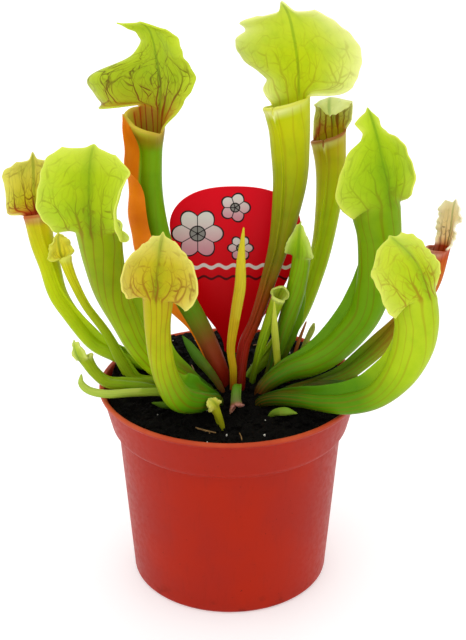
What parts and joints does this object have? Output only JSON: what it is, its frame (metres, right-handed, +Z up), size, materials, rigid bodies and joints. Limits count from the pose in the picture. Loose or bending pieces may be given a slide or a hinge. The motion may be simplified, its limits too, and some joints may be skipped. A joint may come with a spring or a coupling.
{
  "type": "potted trumpet pitcher plant",
  "caption": "Clump of hooded trumpet-shaped pitcher leaves rooted in peat in a round moulded nursery pot with a flared collar and a blank picture card on a stake.",
  "frame": {"origin": "centre of the pot's underside", "axes": "+Z up along the pot's axis, -Y towards the side that the plant shows, +X to that viewer's right"},
  "size_m": [0.2102, 0.1401, 0.2639],
  "materials": {
    "pot": "satin injection-moulded polypropylene",
    "soil": "damp peat with perlite",
    "label_card": "printed plastic card",
    "pitcher_rear_left": "smooth living leaf",
    "pitcher_centre": "smooth living leaf",
    "pitcher_rear_right": "smooth living leaf",
    "pitcher_right": "smooth living leaf",
    "pitcher_front_right": "smooth living leaf",
    "pitcher_front_left": "smooth living leaf",
    "pitcher_dry": "withered leaf",
    "pitcher_left": "smooth living leaf",
    "pitcher_far_left": "smooth living leaf",
    "pitcher_bud": "smooth living leaf",
    "pitcher_small": "smooth living leaf",
    "pitcher_baby": "smooth living leaf",
    "seedling_left": "smooth living leaf",
    "seedling_centre": "smooth living leaf",
    "spike_tall": "smooth living leaf",
    "spike_short": "smooth living leaf",
    "leaf_young": "smooth living leaf",
    "leaf_inner": "smooth living leaf",
    "blade_right": "smooth living leaf",
    "blade_left": "smooth living leaf",
    "leaf_crescent": "smooth living leaf",
    "seedling_hooked": "smooth living leaf",
    "twig": "dry stalk",
    "seedling_curled_a": "smooth living leaf",
    "seedling_curled_b": "smooth living leaf"
  },
  "bodies": {
    "root": {"pot": "pot", "soil": "soil", "label_card": "label_card", "pitcher_rear_left": "pitcher_rear_left", "pitcher_centre": "pitcher_centre", "pitcher_rear_right": "pitcher_rear_right", "pitcher_right": "pitcher_right", "pitcher_front_right": "pitcher_front_right", "pitcher_front_left": "pitcher_front_left", "pitcher_dry": "pitcher_dry", "pitcher_left": "pitcher_left", "pitcher_far_left": "pitcher_far_left", "pitcher_bud": "pitcher_bud", "pitcher_small": "pitcher_small", "pitcher_baby": "pitcher_baby", "seedling_left": "seedling_left", "seedling_centre": "seedling_centre", "spike_tall": "spike_tall", "spike_short": "spike_short", "leaf_young": "leaf_young", "leaf_inner": "leaf_inner", "blade_right": "blade_right", "blade_left": "blade_left", "leaf_crescent": "leaf_crescent", "seedling_hooked": "seedling_hooked", "twig": "twig", "seedling_curled_a": "seedling_curled_a", "seedling_curled_b": "seedling_curled_b"}
  },
  "joints": []
}
